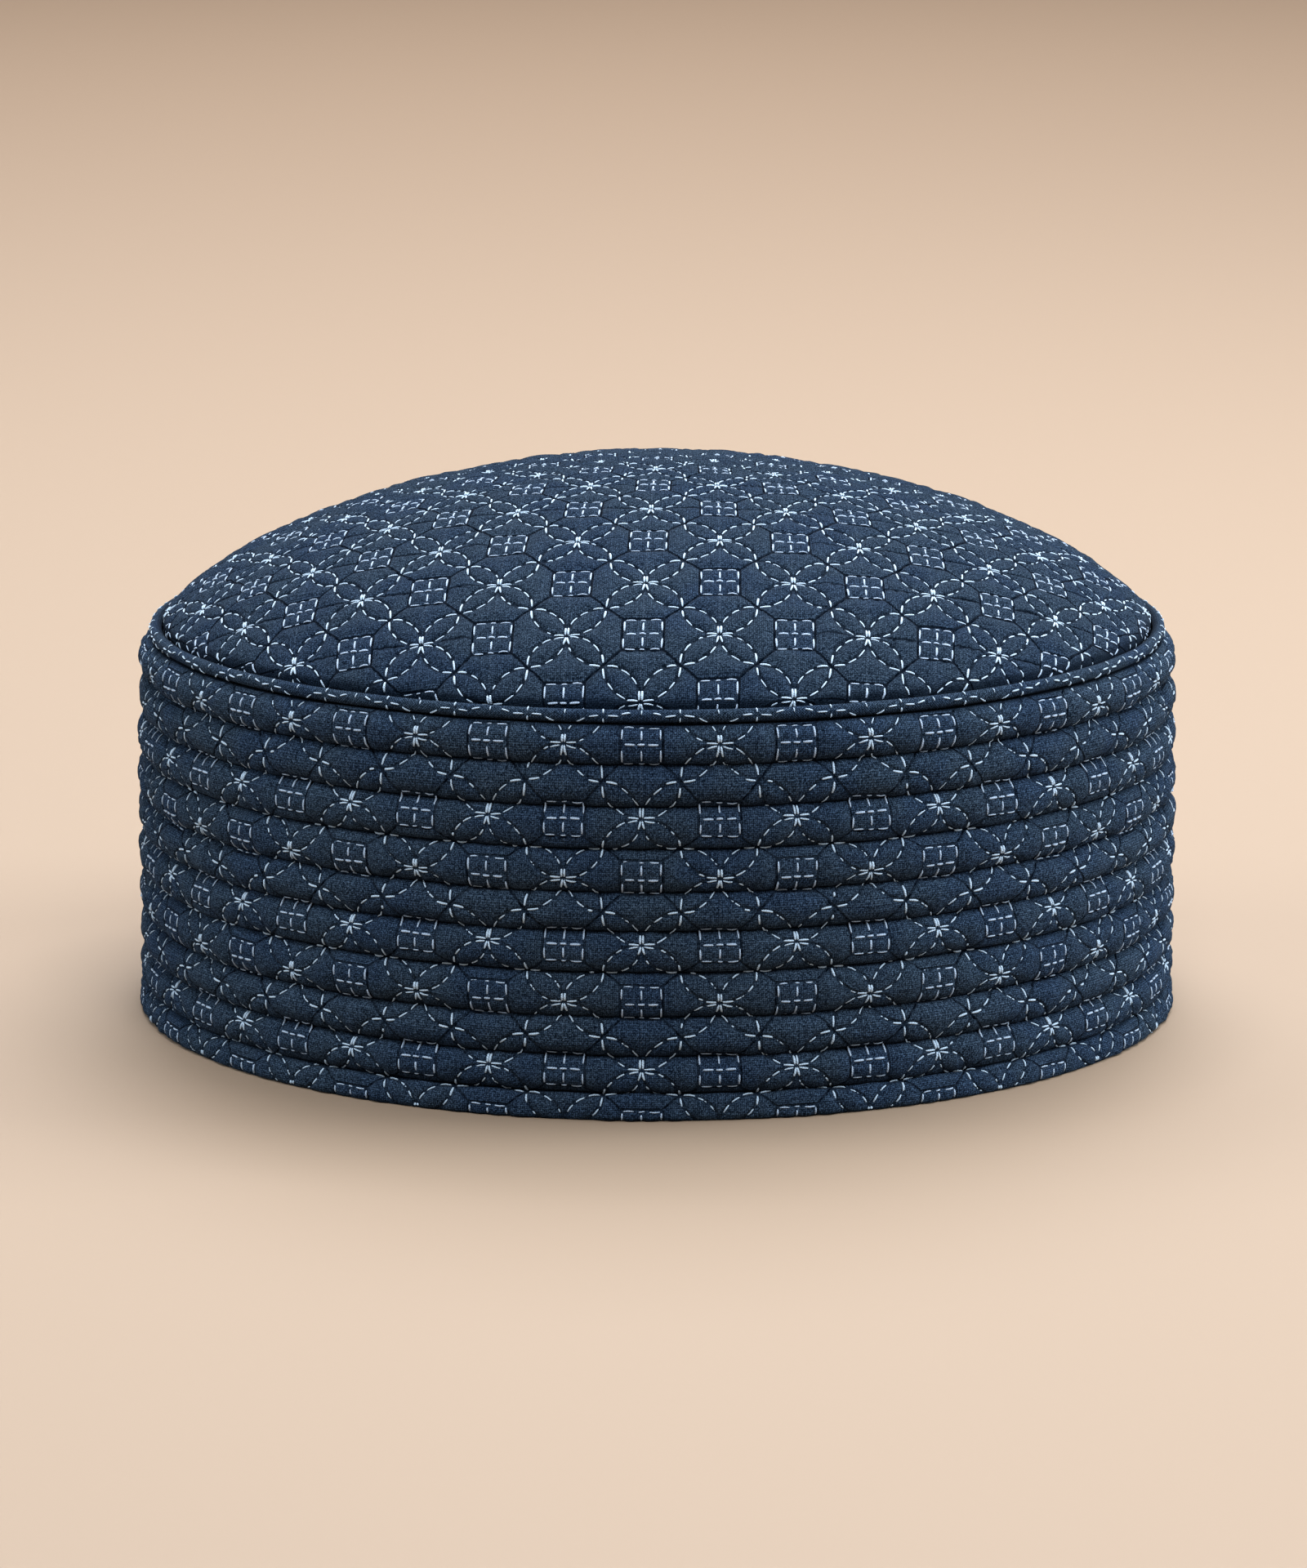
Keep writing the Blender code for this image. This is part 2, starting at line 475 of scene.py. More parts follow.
def start_outline(name, radius, height):
    """A mesh of one vertex, ready to be extruded along an outline at +X."""
    deselect_all()
    bpy.ops.mesh.primitive_plane_add(size=0.001, location=(radius, 0.0, height))
    piece = bpy.context.object
    piece.name = piece.data.name = name
    bpy.ops.object.transform_apply(location=True, rotation=True, scale=True)
    bpy.ops.object.mode_set(mode="EDIT")
    bpy.ops.mesh.select_all(action="SELECT")
    bpy.ops.mesh.merge(type="CENTER")
    return piece


def draw_outline(rows):
    """Extrude the chosen vertex from row to row of (radius, height)."""
    for (radius, height), (next_radius, next_height) in zip(rows[:-1], rows[1:]):
        shift = (next_radius - radius, 0.0, next_height - height)
        bpy.ops.mesh.extrude_region_move(TRANSFORM_OT_translate={"value": shift})


def spin_outline(columns, closed):
    """Turn the outline about Z into one closed, outward-facing piece."""
    bpy.ops.mesh.select_all(action="SELECT")
    if closed:
        bpy.ops.mesh.edge_face_add()
        bpy.ops.mesh.delete(type="ONLY_FACE")
        bpy.ops.mesh.select_all(action="SELECT")
    bpy.ops.mesh.spin(steps=columns, angle=2.0 * math.pi, center=(0.0, 0.0, 0.0), axis=(0.0, 0.0, 1.0))
    bpy.ops.mesh.select_all(action="SELECT")
    bpy.ops.mesh.remove_doubles(threshold=0.00002)
    bpy.ops.mesh.normals_make_consistent(inside=False)
    bpy.ops.object.mode_set(mode="OBJECT")


def smooth(piece):
    piece.data.polygons.foreach_set("use_smooth", np.ones(len(piece.data.polygons), dtype=bool))
    piece.data.update()


def column_uv(mesh, across, down):
    """Lattice coordinates per corner, with the columns carried on where the turn closes."""
    corners = loop_vertices(mesh).reshape(-1, 4)
    columns = across[corners]
    spread = columns.max(axis=1, keepdims=True) - columns
    columns = np.where(spread > BAND_STEPS_ROUND / 2, columns + BAND_STEPS_ROUND, columns)
    return np.stack([columns, down[corners]], axis=-1).reshape(-1, 2)


# Node helpers

def add_node(tree, kind, inputs=None, **settings):
    node = tree.nodes.new(kind)
    for key, value in settings.items():
        setattr(node, key, value)
    for socket, value in (inputs or {}).items():
        if isinstance(value, bpy.types.NodeSocket):
            tree.links.new(value, node.inputs[socket])
        else:
            node.inputs[socket].default_value = value
    return node


def calc(tree, operation, *values):
    """One Math node, and its result."""
    node = add_node(tree, "ShaderNodeMath", dict(enumerate(values)), operation=operation)
    return node.outputs[0]


def arithmetic(tree):
    """Products, sums and differences in one shader tree."""
    return [functools.partial(calc, tree, operation) for operation in ("MULTIPLY", "ADD", "SUBTRACT")]


def spread(tree, value, low, high, to_low=0.0, to_high=1.0):
    """A smooth step of a value from one range to another."""
    inputs = {"Value": value, "From Min": low, "From Max": high, "To Min": to_low, "To Max": to_high}
    node = add_node(tree, "ShaderNodeMapRange", inputs, interpolation_type="SMOOTHSTEP")
    return node.outputs["Result"]


def noise(tree, vector, scale, detail, roughness=0.5):
    inputs = {"Vector": vector, "Scale": scale, "Detail": detail, "Roughness": roughness}
    return add_node(tree, "ShaderNodeTexNoise", inputs).outputs["Fac"]


def blend_colour(tree, share, first, second, mode="MIX"):
    first, second = (value if isinstance(value, bpy.types.NodeSocket) else (*value, 1.0)
                     for value in (first, second))
    inputs = {0: share, 6: first, 7: second}
    return add_node(tree, "ShaderNodeMix", inputs, data_type="RGBA", blend_type=mode).outputs[2]


def new_group(name, inputs, outputs):
    """An empty shader group with named float or vector sockets."""
    tree = bpy.data.node_groups.new(name, "ShaderNodeTree")
    for label, kind, default in inputs:
        socket = tree.interface.new_socket(name=label, in_out="INPUT", socket_type=kind)
        if default is not None:
            socket.default_value = default
    for label in outputs:
        tree.interface.new_socket(name=label, in_out="OUTPUT", socket_type="NodeSocketFloat")
    return tree, tree.nodes.new("NodeGroupInput").outputs, tree.nodes.new("NodeGroupOutput").inputs


def woven_threads():
    """Plain weave with uneven, slubby yarns. Threads is their number in one lattice step."""
    name = "woven threads"
    if name in bpy.data.node_groups:
        return bpy.data.node_groups[name]
    fields = (("Vector", "NodeSocketVector", None), ("Threads", "NodeSocketFloat", 30.0))
    tree, given, result = new_group(name, fields, ("Tone", "Height"))
    times, plus, minus = arithmetic(tree)
    axes = add_node(tree, "ShaderNodeSeparateXYZ", {"Vector": given["Vector"]}).outputs
    across = times(axes["X"], given["Threads"])
    along = times(axes["Y"], given["Threads"])
    warp = calc(tree, "ABSOLUTE", calc(tree, "SINE", times(across, math.pi)))
    weft = calc(tree, "ABSOLUTE", calc(tree, "SINE", times(along, math.pi)))
    both = plus(calc(tree, "FLOOR", across), calc(tree, "FLOOR", along))
    over = calc(tree, "PINGPONG", both, 1.0)
    top = plus(times(warp, over), times(weft, minus(1.0, over)))
    under = times(times(warp, weft), 0.5)
    weave = calc(tree, "MAXIMUM", top, under)
    slubs = []
    for stretch in ((0.10, 1.0), (1.0, 0.10)):
        vector = add_node(tree, "ShaderNodeCombineXYZ", {
            "X": times(across, stretch[0]),
            "Y": times(along, stretch[1]),
            "Z": stretch[0]}).outputs[0]
        slubs.append(noise(tree, vector, 0.9, 2.0, 0.6))
    yarn = plus(times(slubs[0], minus(1.0, over)), times(slubs[1], over))
    both_ways = times(plus(slubs[0], slubs[1]), 0.5)
    slub = plus(times(yarn, 0.5), times(both_ways, 0.5))
    fibre, fleck = (noise(tree, given["Vector"], scale, 3.0, 0.7) for scale in (46.0, 27.0))
    tone = plus(times(spread(tree, slub, 0.38, 0.62), 0.25), times(spread(tree, fibre, 0.45, 0.58), 0.60))
    tone = plus(tone, times(spread(tree, fleck, 0.50, 0.63), 0.85))
    shade = plus(times(times(weave, weave), 0.9), 0.22)
    tree.links.new(times(tone, shade), result["Tone"])
    tree.links.new(plus(times(weave, 0.7), times(slub, 0.6)), result["Height"])
    return tree


def quilting_lines():
    """Where the petal arcs and the straight quilting lines run, folded from lattice coordinates."""
    name = "quilting lines"
    if name in bpy.data.node_groups:
        return bpy.data.node_groups[name]
    tree, given, result = new_group(name, (("Vector", "NodeSocketVector", None),),
                                    ("Arc", "Line", "Row", "Tick", "Window"))
    times, plus, minus = arithmetic(tree)
    axes = add_node(tree, "ShaderNodeSeparateXYZ", {"Vector": given["Vector"]}).outputs
    along = calc(tree, "PINGPONG", axes["X"], 1.0)
    aside = calc(tree, "PINGPONG", axes["Y"], 1.0)
    star_x = minus(1.0, calc(tree, "MAXIMUM", along, aside))
    star_y = calc(tree, "MINIMUM", along, aside)

    def ring(x, y):
        """Distance to the circle about (radius, 0), or far away past its middle."""
        shifted = minus(x, ARC_RADIUS)
        reach = calc(tree, "SQRT", plus(times(shifted, shifted), times(y, y)))
        past = calc(tree, "GREATER_THAN", x, ARC_RADIUS)
        return plus(calc(tree, "ABSOLUTE", minus(reach, ARC_RADIUS)), past)

    arc = calc(tree, "MINIMUM", ring(star_x, star_y), ring(star_y, star_x))
    long_way = minus(1.0, calc(tree, "MAXIMUM", star_x, star_y))
    short_way = calc(tree, "MINIMUM", star_x, star_y)
    outline = calc(tree, "ABSOLUTE", minus(long_way, WINDOW_HALF + 0.022))
    outside = calc(tree, "LESS_THAN", long_way, WINDOW_HALF)
    corner = plus(times(minus(long_way, short_way), 0.707), outside)
    line = calc(tree, "MINIMUM", outline, corner)
    row_gap = calc(tree, "ABSOLUTE", minus(axes["Y"], calc(tree, "ROUND", axes["Y"])))
    column_gap = calc(tree, "ABSOLUTE", minus(axes["X"], calc(tree, "ROUND", axes["X"])))
    open_cloth = spread(tree, calc(tree, "MINIMUM", long_way, minus(1.0, long_way)), 0.20, 0.30)
    row = times(spread(tree, row_gap, 0.004, 0.024, 1.0, 0.0), open_cloth)
    dots = calc(tree, "SINE", times(axes["Y"], 140.0))
    tick = times(spread(tree, column_gap, 0.003, 0.010, 1.0, 0.0), spread(tree, dots, 0.1, 0.7))
    tree.links.new(spread(tree, arc, 0.004, 0.046, 1.0, 0.0), result["Arc"])
    tree.links.new(spread(tree, line, 0.004, 0.024, 1.0, 0.0), result["Line"])
    tree.links.new(row, result["Row"])
    tree.links.new(times(tick, open_cloth), result["Tick"])
    tree.links.new(spread(tree, long_way, WINDOW_HALF - 0.03, WINDOW_HALF + 0.03, 1.0, 0.0), result["Window"])
    return tree


def twisted_strands():
    """Plied thread: diagonal strands along a stitch, with a little fuzz. Y runs across it from -1 to 1."""
    name = "twisted strands"
    if name in bpy.data.node_groups:
        return bpy.data.node_groups[name]
    fields = (("Vector", "NodeSocketVector", None), ("Turns", "NodeSocketFloat", 1.0))
    tree, given, result = new_group(name, fields, ("Tone", "Height", "Side"))
    times, plus, _ = arithmetic(tree)
    axes = add_node(tree, "ShaderNodeSeparateXYZ", {"Vector": given["Vector"]}).outputs
    phase = plus(times(axes["X"], given["Turns"]), times(axes["Y"], 0.45))
    strand = calc(tree, "ABSOLUTE", calc(tree, "SINE", times(phase, math.pi)))
    fuzz = noise(tree, given["Vector"], 3.0, 3.0, 0.7)
    tree.links.new(plus(times(strand, 0.6), times(fuzz, 0.4)), result["Tone"])
    tree.links.new(plus(strand, times(fuzz, 0.3)), result["Height"])
    # Side grows towards the thread's edges, where the thread material lays painted shade.
    tree.links.new(times(axes["Y"], axes["Y"]), result["Side"])
    return tree


def new_material(name):
    material = bpy.data.materials.new(name)
    material.use_nodes = True
    return material, material.node_tree, material.node_tree.nodes["Principled BSDF"]


def place_group(tree, group, inputs):
    return add_node(tree, "ShaderNodeGroup", inputs, node_tree=group).outputs


def cloth_material(name, turn=0.0, quilted=True, rows=0.0, painted_light_gain=1.0, shade_pull=1.0):
    """Navy linen-look cotton with slubs, with painted shade where stitches pull it in and along seams.

    rows is how strongly the quilting lines along the rows show away from the front of the crown.
    The light gain paints the raised yarns lighter, standing in for light on the piece, and the groove pull
    darkens the quilting lines as painted shade.
    """
    material, tree, shader = new_material(name)
    times, plus, minus = arithmetic(tree)
    uv = add_node(tree, "ShaderNodeUVMap", uv_map="cloth").outputs["UV"]
    grain_vector = uv
    if turn:
        turned = {"Vector": uv, "Rotation": (0.0, 0.0, turn)}
        grain_vector = add_node(tree, "ShaderNodeMapping", turned).outputs[0]
    weave = place_group(tree, woven_threads(), {"Vector": grain_vector, "Threads": sizes().threads_per_step})
    place = add_node(tree, "ShaderNodeTexCoord").outputs["Object"]
    patches = noise(tree, place, 70.0, 3.0, 0.55)
    # Painted light: the raised yarns' colour is scaled by the light gain, making the band and piping cloth
    # lighter in place of the light they catch.
    raised = tuple(painted_light_gain * c for c in colours().cloth_light)
    colour = blend_colour(tree, weave["Tone"], colours().cloth_shade, raised)
    colour = blend_colour(tree, spread(tree, patches, 0.40, 0.66), colour, colours().cloth_patch, "MULTIPLY")
    height = weave["Height"]
    if quilted:
        lines = place_group(tree, quilting_lines(), {"Vector": uv})
        lining = add_node(tree, "ShaderNodeAttribute", attribute_name="lining").outputs["Fac"]
        outside = minus(1.0, lining)
        arc = times(lines["Arc"], outside)
        tick = times(lines["Tick"], outside)
        window = times(times(lines["Window"], outside), 0.2)
        colour = blend_colour(tree, window, colour, colours().cloth_patch, "MULTIPLY")
        colour = blend_colour(tree, times(tick, 0.08), colour, colours().steel_thread)
        # Painted shade: the cloth is darkened along the petal arcs, in the grooves and needle holes the
        # stitches pull in.
        colour = blend_colour(tree, times(arc, 0.62 * shade_pull), colour, colours().painted_groove_shade)
        line = lines["Line"]
        if rows:
            axes = add_node(tree, "ShaderNodeSeparateXYZ", {"Vector": uv}).outputs
            away = calc(tree, "MAXIMUM", spread(tree, calc(tree, "ABSOLUTE", axes["X"]), 1.2, 3.2),
                        spread(tree, axes["Y"], -4.5, -3.0))
            line = calc(tree, "MAXIMUM", line, times(times(lines["Row"], away), rows))
        line = times(line, outside)
        # Painted shade: the cloth is darkened along the window outlines, corner lines and row lines, in the
        # grooves the quilting pulls in.
        colour = blend_colour(tree, times(line, 0.84 * shade_pull), colour, colours().painted_groove_shade)
        pulled = times(plus(line, arc), 2.4)
        pucker = noise(tree, uv, 9.0, 2.0)
        height = plus(height, times(pucker, 4.0))
        height = minus(height, pulled)
    # Painted shade: the seam attribute darkens the cloth in the rib seams, at the crown's rolled rim and on
    # the piping's tucked-in sides.
    seam = add_node(tree, "ShaderNodeAttribute", attribute_name="seam").outputs["Fac"]
    colour = blend_colour(tree, times(seam, 0.75), colour, colours().painted_groove_shade)
    bump = add_node(tree, "ShaderNodeBump", {"Height": height, "Strength": 0.85, "Distance": 0.00020})
    tree.links.new(colour, shader.inputs["Base Color"])
    tree.links.new(bump.outputs["Normal"], shader.inputs["Normal"])
    tree.links.new(spread(tree, weave["Tone"], 0.0, 1.0, 0.92, 0.76), shader.inputs["Roughness"])
    shader.inputs["Sheen Weight"].default_value = 0.02
    shader.inputs["Sheen Roughness"].default_value = 0.45
    shader.inputs["Sheen Tint"].default_value = (0.55, 0.68, 0.95, 1.0)
    shader.inputs["Specular IOR Level"].default_value = 0.02
    return material


def thread_material(name, colour, gloss=0.4):
    """Plied cotton thread, deeper in colour between the strands, with painted shade where it sinks into the
    cloth.
    """
    material, tree, shader = new_material(name)
    times, _, _ = arithmetic(tree)
    uv = add_node(tree, "ShaderNodeUVMap", uv_map="cloth").outputs["UV"]
    strands = place_group(tree, twisted_strands(), {"Vector": uv, "Turns": 2.4})
    tone = blend_colour(tree, strands["Tone"], tuple(0.6 * c for c in colour), colour)
    # Painted shade: the thread's sides are darkened towards where it sinks into the cloth.
    tone = blend_colour(tree, times(strands["Side"], 0.75), tone, tuple(0.3 * c for c in colour))
    bump = add_node(tree, "ShaderNodeBump", {
        "Height": strands["Height"], "Strength": 0.5, "Distance": 0.00008})
    tree.links.new(tone, shader.inputs["Base Color"])
    tree.links.new(bump.outputs["Normal"], shader.inputs["Normal"])
    tree.links.new(spread(tree, strands["Tone"], 0.0, 1.0, 0.72, 0.52), shader.inputs["Roughness"])
    shader.inputs["Sheen Weight"].default_value = 0.3 * gloss
    shader.inputs["Specular IOR Level"].default_value = gloss
    return material


# Cloth pieces

def model_crown_cloth():
    """The domed top: a fine sheet pressed into a dome, its rim rolled in and a plain inner face."""
    face = CrownFace()
    deselect_all()
    bpy.ops.mesh.primitive_grid_add(x_subdivisions=CROWN_SQUARES, y_subdivisions=CROWN_SQUARES, size=2.0)
    piece = bpy.context.object
    piece.name = piece.data.name = "crown_cloth"
    points = vertex_array(piece.data)
    # The square sheet is rounded to a disc without bunching its corners
    a, b = points[:, 0], points[:, 1]
    wide = np.abs(a) >= np.abs(b)
    reach = np.where(wide, a, b)
    safe = np.where(np.abs(reach) < 1e-9, 1.0, reach)
    turn = np.where(wide, math.pi / 4 * b / safe, math.pi / 2 - math.pi / 4 * a / safe)
    x, y = CROWN_EDGE * reach * np.cos(turn), CROWN_EDGE * reach * np.sin(turn)
    outer, _ = face.at(*face.lattice(x, y))
    outer_count = len(outer)
    move_vertices(piece.data, outer)
    edge_height, edge = face.edge_height, CROWN_EDGE - CROWN_DRAW_IN
    bpy.ops.object.mode_set(mode="EDIT")
    bpy.ops.mesh.select_all(action="SELECT")
    bpy.ops.mesh.region_to_loop()
    rings = [
        (edge + RIM_ROLL[0], edge_height - RIM_ROLL[1]),
        (edge, CROWN_RIM_HEIGHT),
        (edge - CROWN_WALL, CROWN_RIM_HEIGHT),
        (edge - CROWN_WALL - LINING_START[0], edge_height - LINING_START[1]),
    ]
    for ring in range(1, CROWN_INNER_RINGS):
        radius = CROWN_EDGE * math.cos(0.5 * math.pi * ring / CROWN_INNER_RINGS)
        slope = float(dome_slope(np.array(radius)))
        length = math.hypot(1.0, slope)
        height = float(dome_height(np.array(radius)))
        inset = radius + CROWN_WALL * slope / length
        if inset < rings[-1][0] - 0.002:
            rings.append((inset, height - CROWN_WALL / length))
    at_radius, at_height = edge, edge_height
    for radius, height in rings:
        shift = {"value": (0.0, 0.0, height - at_height)}
        bpy.ops.mesh.extrude_region_move(TRANSFORM_OT_translate=shift)
        grow = radius / at_radius
        bpy.ops.transform.resize(value=(grow, grow, 1.0), center_override=(0.0, 0.0, 0.0))
        at_radius, at_height = radius, height
    bpy.ops.mesh.edge_face_add()
    bpy.ops.mesh.poke()
    bpy.ops.mesh.select_all(action="SELECT")
    bpy.ops.mesh.normals_make_consistent(inside=False)
    bpy.ops.object.mode_set(mode="OBJECT")
    mesh = piece.data
    points = vertex_array(mesh)
    radius = np.hypot(points[:, 0], points[:, 1])
    past = np.clip(edge_height - points[:, 2], 0.0, 0.004) * (radius > edge - 0.002)
    drawn = np.clip((radius - CROWN_DRAW_START) / (edge - CROWN_DRAW_START), 0.0, 1.0)
    stretch = 1.0 + CROWN_DRAW_IN / edge * drawn
    stretch += past / edge
    uv = np.stack(face.lattice(points[:, 0] * stretch, points[:, 1] * stretch), axis=-1)
    write_uv(mesh, uv[loop_vertices(mesh)])
    # Painted shade: the seam attribute darkens the cloth towards the rim, where it rolls under the piping,
    # and all down the rim wall.
    seam = np.clip((radius - edge + 0.0009) / 0.0012, 0.0, 1.0)
    rim_count = CROWN_RIM_RINGS * 4 * CROWN_SQUARES
    seam[outer_count:outer_count + rim_count] = 1.0
    seam[outer_count + rim_count:] = 0.0
    write_attribute(mesh, "seam", seam)
    write_attribute(mesh, "lining", np.arange(len(points)) >= outer_count + rim_count)
    smooth(piece)
    return piece


def model_band_cloth():
    """The side band: ribbed section spun round, then padded between its stitches."""
    face = BandFace()
    radii, heights = rib_section()
    rows = list(zip(radii.tolist(), heights.tolist())) + inner_section()
    piece = start_outline("band_cloth", *rows[0])
    draw_outline(rows)
    spin_outline(BAND_STEPS_ROUND * BAND_COLUMNS_PER_STEP, closed=True)
    mesh = piece.data
    points = vertex_array(mesh)
    section = np.array(rows)
    radius = np.hypot(points[:, 0], points[:, 1])
    gaps = (radius[:, None] - section[None, :, 0]) ** 2 + (points[:, 2][:, None] - section[None, :, 1]) ** 2
    row = np.argmin(gaps, axis=1)
    outer = row < len(radii)
    run = np.interp(row, np.arange(len(radii)), face.run)
    across = columns_of(points)
    placed, _ = face.place(across, run)
    resting = row >= len(radii) - 2
    points = np.where((outer & ~resting)[:, None], placed, points)
    points[:, 2] = np.maximum(points[:, 2], 0.0)
    move_vertices(mesh, points)
    steps = np.hypot(np.diff(section[:, 0]), np.diff(section[:, 1]))
    past = np.maximum(np.concatenate([[0.0], np.cumsum(steps)]) - face.run[-1], 0.0) / STEP_LENGTH
    write_uv(mesh, column_uv(mesh, across, face.down(across, run) + past[row]))
    # Painted shade: the seam attribute darkens the cloth at each rib seam, reaching further up the lower face
    # of the rib above.
    seam_gap = run[:, None] - face.seam_run
    shadow = np.where(seam_gap < 0.0, -seam_gap / SEAM_SHADOW_ABOVE, seam_gap / SEAM_SHADOW_BELOW)
    seam = np.exp(-(np.min(shadow, axis=1) ** 1.4))
    write_attribute(mesh, "seam", np.where(outer, seam, 0.0))
    write_attribute(mesh, "lining", row > len(radii))
    smooth(piece)
    return piece


def model_piping():
    """The covered cord round the crown's edge."""
    rows = []
    for side in range(PIPING_SIDES):
        turn = math.pi * (0.5 - 2.0 * side / PIPING_SIDES)
        height = PIPING_HEIGHT + PIPING_RADIUS * math.sin(turn)
        rows.append((PIPING_RING + PIPING_RADIUS * math.cos(turn), height))
    piece = start_outline("piping_cover", *rows[0])
    draw_outline(rows)
    spin_outline(BAND_STEPS_ROUND * BAND_COLUMNS_PER_STEP, closed=True)
    mesh = piece.data
    points = vertex_array(mesh)
    radius = np.hypot(points[:, 0], points[:, 1])
    across = columns_of(points)
    turn = np.arctan2(points[:, 2] - PIPING_HEIGHT, radius - PIPING_RING)
    swell = 1.0 + PIPING_UNEVENNESS * rumple(points, 0.012, 21)
    radius_now = PIPING_RING + (radius - PIPING_RING) * swell
    points[:, 2] = PIPING_HEIGHT + (points[:, 2] - PIPING_HEIGHT) * swell
    points[:, :2] *= (radius_now / radius)[:, None]
    move_vertices(mesh, points)
    corners = loop_vertices(mesh).reshape(-1, 4)
    uv = column_uv(mesh, across, -turn * PIPING_RADIUS / STEP_LENGTH).reshape(-1, 4, 2)
    wrap = 2.0 * math.pi * PIPING_RADIUS / STEP_LENGTH
    gap = uv[..., 1].max(axis=1, keepdims=True) - uv[..., 1]
    uv[..., 1] = np.where(gap > wrap / 2, uv[..., 1] + wrap, uv[..., 1])
    write_uv(mesh, uv.reshape(-1, 2))
    # Painted shade: the seam attribute darkens the cord's top, back and underside, where it is tucked between
    # crown and band.
    write_attribute(mesh, "seam", np.clip((np.abs(turn) - 1.2) / 0.9, 0.0, 1.0))
    smooth(piece)
    return piece


# Stitches

def stitch_form(sides):
    """One stitch, modelled as a small closed spindle: corner angles, levels and faces."""
    deselect_all()
    bpy.ops.mesh.primitive_uv_sphere_add(segments=sides, ring_count=4, radius=1.0)
    ball = bpy.context.object
    points = vertex_array(ball.data)
    counts = np.array([len(face.vertices) for face in ball.data.polygons])
    corners = loop_vertices(ball.data)
    round_share = np.hypot(points[:, 0], points[:, 1])
    plump = np.where(round_share > 1e-6, np.maximum(round_share, 1e-6) ** STITCH_PLUMPNESS, 0.0)
    form = {
        "level": points[:, 2],
        "side": points[:, 0] * plump,
        "rise": points[:, 1] * plump,
        "corners": corners,
        "counts": counts,
    }
    bpy.data.objects.remove(ball, do_unlink=True)
    return form


class StitchList:
    """Stitches gathered as short curves on a face of the cap."""

    def __init__(self, face, seed):
        self.face, self.rng = face, np.random.default_rng(seed)
        self.paths, self.widths, self.rises = [], [], []

    def add(self, path, width, rise=STITCH_RISE):
        """path is five (across, down) pairs; width in metres; rise is height over width."""
        self.paths.append(path)
        self.widths.append(width * self.rng.uniform(0.88, 1.12))
        self.rises.append(rise)

    def line(self, start, end, width, bow=0.0, rise=STITCH_RISE, loose=0.012):
        """A straight stitch, or one bowed sideways, between two lattice points."""
        share = LEVELS
        nudge = self.rng.uniform(-loose, loose, 4)
        ax, ay = start[0] + nudge[0], start[1] + nudge[1]
        bx, by = end[0] + nudge[2], end[1] + nudge[3]
        bend = bow * (1.0 - (2.0 * share - 1.0) ** 2)
        length = max(math.hypot(bx - ax, by - ay), 1e-9)
        nx, ny = -(by - ay) / length, (bx - ax) / length
        across, down = ax + (bx - ax) * share + nx * bend, ay + (by - ay) * share + ny * bend
        self.add(np.stack([across, down], axis=-1), width, rise)

    def mark(self, spot, start, end, width, **how):
        """A straight stitch whose ends are given from a lattice spot."""
        (column, row), (ax, ay), (bx, by) = spot, start, end
        self.line((column + ax, row + ay), (column + bx, row + by), width, **how)

    def build(self, name, form):
        """One mesh of all the stitches, laid on the face."""
        paths = np.array(self.paths)
        widths, rises = np.array(self.widths), np.array(self.rises)
        spots, normals = self.face.at(paths[..., 0], paths[..., 1])
        tangents = np.gradient(spots, axis=1)
        tangents /= np.linalg.norm(tangents, axis=-1, keepdims=True) + 1e-12
        sides = np.cross(tangents, normals)
        sides /= np.linalg.norm(sides, axis=-1, keepdims=True) + 1e-12
        ups = np.cross(sides, tangents)
        level = np.rint(np.interp(form["level"], BALL_LEVELS, range(5))).astype(int)
        sink = np.array(STITCH_SINK)[level]
        half = 0.5 * widths[:, None]
        across = half * form["side"][None, :]
        lift = half * rises[:, None] * (form["rise"][None, :] + 2.0 * sink[None, :])
        verts = spots[:, level] + sides[:, level] * across[..., None] + ups[:, level] * lift[..., None]
        count, corners = len(paths), form["corners"]
        offsets = np.arange(count)[:, None] * len(form["level"])
        loops = (corners[None, :] + offsets).ravel()
        totals = np.tile(form["counts"], count)
        mesh = bpy.data.meshes.new(name)
        mesh.vertices.add(verts.shape[0] * verts.shape[1])
        mesh.vertices.foreach_set("co", verts.ravel())
        mesh.loops.add(len(loops))
        mesh.loops.foreach_set("vertex_index", loops.astype(np.int32))
        mesh.polygons.add(len(totals))
        starts = np.concatenate([[0], np.cumsum(totals)[:-1]]).astype(np.int32)
        mesh.polygons.foreach_set("loop_start", starts)
        mesh.update(calc_edges=True)
        lengths = np.linalg.norm(np.diff(spots, axis=1), axis=-1).sum(axis=1) / MM
        along = 0.5 * (form["level"][corners][None, :] + 1.0) * lengths[:, None]
        aside = np.broadcast_to(form["side"][corners], along.shape)
        write_uv(mesh, np.stack([along + 0.37 * np.arange(count)[:, None], aside], axis=-1).reshape(-1, 2))
        piece = bpy.data.objects.new(name, mesh)
        bpy.context.scene.collection.objects.link(piece)
        smooth(piece)
        return piece


def petal_arcs(stitches, column, row):
    """Running stitches of the eight arcs that leave one star."""
    width = sizes().thread_width
    for side_x in (-1.0, 1.0):
        for side_y in (-1.0, 1.0):
            for upright in (True, False):
                for start, end, plump, roundness in RUNNING_STITCHES:
                    start, end = np.array((start, end)) + stitches.rng.uniform(-0.016, 0.016, 2)
                    if stitches.rng.random() < SHORT_STITCH_CHANCE:
                        end = start + 0.5 * (end - start)
                    turn = 0.5 * math.pi * (start + (end - start) * LEVELS)
                    near, far = ARC_RADIUS * (1.0 - np.cos(turn)), ARC_RADIUS * np.sin(turn) ** roundness
                    x, y = (near, far) if upright else (far, near)
                    drift = stitches.rng.uniform(-0.006, 0.006)
                    path = np.stack([column + side_x * (x + drift), row + side_y * (y + drift)], axis=-1)
                    stitches.add(path, width * plump)


